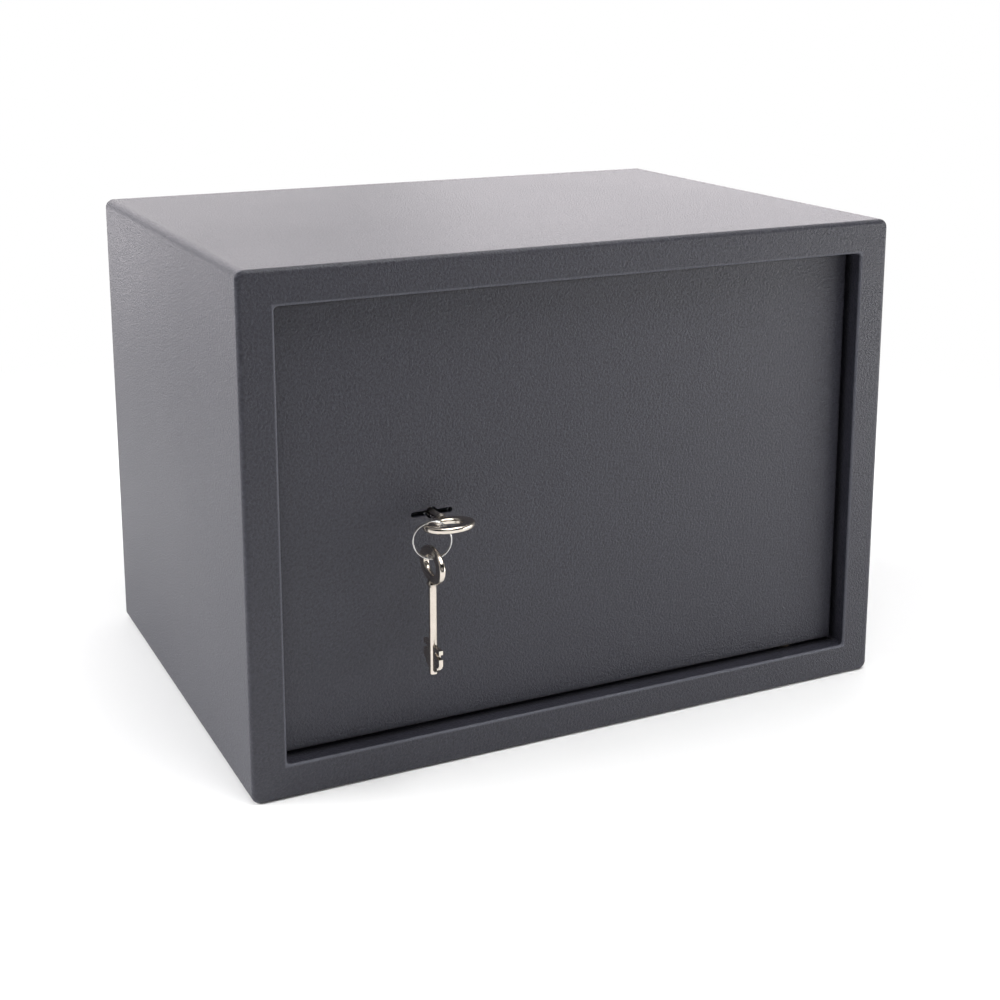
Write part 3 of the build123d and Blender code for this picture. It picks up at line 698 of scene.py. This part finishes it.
def white_sweep(name):
    """A matte white floor that keeps the shadow, and plain white further out for the camera."""
    material, tree, output = new_material(name)
    matte = finish_material(
        tree, output, {"Base Color": hex_colour("f8f8f8"), "Roughness": 0.7, "IOR": 1.4}, {}
    )
    place = add_node(tree, "ShaderNodeNewGeometry").outputs["Position"]
    reach = add_node(tree, "ShaderNodeVectorMath", {"operation": "LENGTH"}, {0: place})
    far = add_node(
        tree,
        "ShaderNodeMapRange",
        {
            "interpolation_type": "SMOOTHSTEP",
            "From Min": shadow_reach,
            "From Max": shadow_reach + shadow_fade,
        },
        {"Value": reach.outputs["Value"]},
    )
    depth = add_node(tree, "ShaderNodeSeparateXYZ", {}, {"Vector": place})
    behind = add_node(
        tree,
        "ShaderNodeMapRange",
        {
            "interpolation_type": "SMOOTHSTEP",
            "From Min": mirrored_white[0],
            "From Max": mirrored_white[1],
        },
        {"Value": depth.outputs["Y"]},
    )
    rays = add_node(tree, "ShaderNodeLightPath").outputs
    shown = add_node(
        tree,
        "ShaderNodeMath",
        {"operation": "MULTIPLY_ADD", "use_clamp": True},
        {0: rays["Is Glossy Ray"], 1: behind.outputs["Result"], 2: rays["Is Camera Ray"]},
    )
    shown_through = add_node(
        tree,
        "ShaderNodeMath",
        {"operation": "ADD", "use_clamp": True},
        {0: shown.outputs[0], 1: rays["Is Transmission Ray"]},
    )
    amount = add_node(
        tree,
        "ShaderNodeMath",
        {"operation": "MULTIPLY"},
        {0: far.outputs["Result"], 1: shown_through.outputs[0]},
    )
    white = add_node(tree, "ShaderNodeEmission", {"Color": (1, 1, 1, 1), "Strength": 1.0})
    blend = add_node(
        tree,
        "ShaderNodeMixShader",
        {},
        {0: amount.outputs[0], 1: matte.outputs["BSDF"], 2: white.outputs["Emission"]},
    )
    tree.links.new(blend.outputs["Shader"], output.inputs["Surface"])
    return material


floor_mesh = bpy.data.meshes.new("floor")
floor_shape = bmesh.new()
bmesh.ops.create_grid(floor_shape, x_segments=8, y_segments=8, size=table_half)
for corner in floor_shape.verts:
    corner.co.y = max(corner.co.y, table_edge)
bmesh.ops.remove_doubles(floor_shape, verts=floor_shape.verts, dist=0.0001)
floor_shape.to_mesh(floor_mesh)
floor_shape.free()
floor = bpy.data.objects.new("floor", floor_mesh)
bpy.context.collection.objects.link(floor)
floor_mesh.materials.append(white_sweep("white_floor"))
print("table edge", table_edge, "m, white from", shadow_reach + shadow_fade, "m")

# %% [markdown]
# A white studio lights the object softly. Its world is bright behind the safe, where the white backdrop
# is, and dim behind the camera, and that is what gives the paint its slow change of brightness. The
# matte side of the paint gathers this light from all round, and its gloss mirrors it, so each has a
# level of its own. The camera sees plain white everywhere.

# %% World
world = bpy.data.worlds.new("white_studio")
bpy.context.scene.world = world
world.use_nodes = True
sky = world.node_tree
sky.nodes.clear()
direction = add_node(sky, "ShaderNodeTexCoord").outputs["Generated"]
axes = add_node(sky, "ShaderNodeSeparateXYZ", {}, {"Vector": direction})


def studio_light(front, back):
    """White light that rises from one level behind the camera to another behind the safe."""
    level = add_node(
        sky,
        "ShaderNodeMapRange",
        {
            "interpolation_type": "SMOOTHSTEP",
            "From Min": -0.6,
            "From Max": 0.6,
            "To Min": front,
            "To Max": back,
        },
        {"Value": axes.outputs["Y"]},
    )
    return add_node(
        sky,
        "ShaderNodeBackground",
        {"Color": (1, 1, 1, 1)},
        {"Strength": level.outputs["Result"]},
    ).outputs["Background"]


rays = add_node(sky, "ShaderNodeLightPath").outputs
shown = add_node(
    sky,
    "ShaderNodeMath",
    {"operation": "MAXIMUM"},
    {0: rays["Is Camera Ray"], 1: rays["Is Transmission Ray"]},
)
white = add_node(sky, "ShaderNodeBackground", {"Color": (1, 1, 1, 1), "Strength": 1.0})
lit_or_mirrored = add_node(
    sky,
    "ShaderNodeMixShader",
    {},
    {0: rays["Is Glossy Ray"], 1: studio_light(0.1, 0.35), 2: studio_light(0.0, 1.0)},
)
whole = add_node(
    sky,
    "ShaderNodeMixShader",
    {},
    {0: shown.outputs[0], 1: lit_or_mirrored.outputs[0], 2: white.outputs[0]},
)
add_node(sky, "ShaderNodeOutputWorld", {}, {"Surface": whole.outputs[0]})
print("world nodes", len(sky.nodes))

# %% [markdown]
# Dark satin paint shows what it mirrors more than its own colour, so every lamp is a large box with a
# place for it. One hangs over the front, one high over the top, a small one stands in front, and a low
# card on the right lifts the right of the door. A wide box on the left lights the left side with matte
# light alone. Three more are there only to be mirrored: two stand behind, where the top mirrors them at
# a flat angle and turns pale, and a low card stands behind on the left for the left side. Which light a
# lamp gives is set by the rays that may see it. The strengths came from a picture of each lamp alone,
# added up to match the brightness of each face.

# %% Lamps
def soft_box(name, place, target, width, height, power, on="all", colour="ffffff"):
    """A rectangular area lamp that faces a point, for all light, or matte or mirrored light alone."""
    lamp = bpy.data.lights.new(name, "AREA")
    lamp.shape = "RECTANGLE"
    lamp.size = width
    lamp.size_y = height
    lamp.energy = power
    lamp.color = hex_colour(colour)[:3]
    holder = bpy.data.objects.new(name, lamp)
    bpy.context.collection.objects.link(holder)
    holder.location = place
    facing = Vector(target) - Vector(place)
    holder.rotation_euler = facing.to_track_quat("-Z", "Y").to_euler()
    holder.visible_camera = False
    holder.visible_diffuse = on != "mirrored"
    holder.visible_glossy = on != "matte"


rose = "fff7fb"  # the backdrop's very slight warmth, seen on the side and the top
soft_box("overhead_box", (0.2, -0.5, 1.2), (0.08, -0.33, 0.0), 0.85, 0.6, 12.4)
soft_box("top_box", (0.1, 0.3, 2.2), (0, 0, 0.1), 2.2, 2.2, 6)
soft_box("front_box", (-0.15, -1.3, 0.45), (0, -0.12, 0.12), 0.5, 0.4, 0.9)
soft_box("low_card", (0.75, -0.55, 0.12), (0.05, -0.12, 0.07), 0.6, 0.25, 3.3)
soft_box("left_box", (-2.4, 0.95, 1.15), (0, 0, 0.12), 3.0, 2.0, 145, "matte")
soft_box("side_card", (-0.55, 1.1, 0.12), (-0.18, 0, 0.12), 0.6, 0.22, 1.0, "mirrored", rose)
soft_box("back_left_box", (0.1, 3.0, 1.2), (0, 0, 0.2), 1.9, 1.5, 16.5, "mirrored", rose)
soft_box("back_right_box", (2.3, 2.5, 1.2), (0.1, 0, 0.2), 2.6, 1.5, 32, "mirrored", rose)

# %% [markdown]
# The camera's picture gets plain contrast, and this last cell closes the scene.

# %% Close the scene
bpy.context.scene.view_settings.view_transform = "Standard"
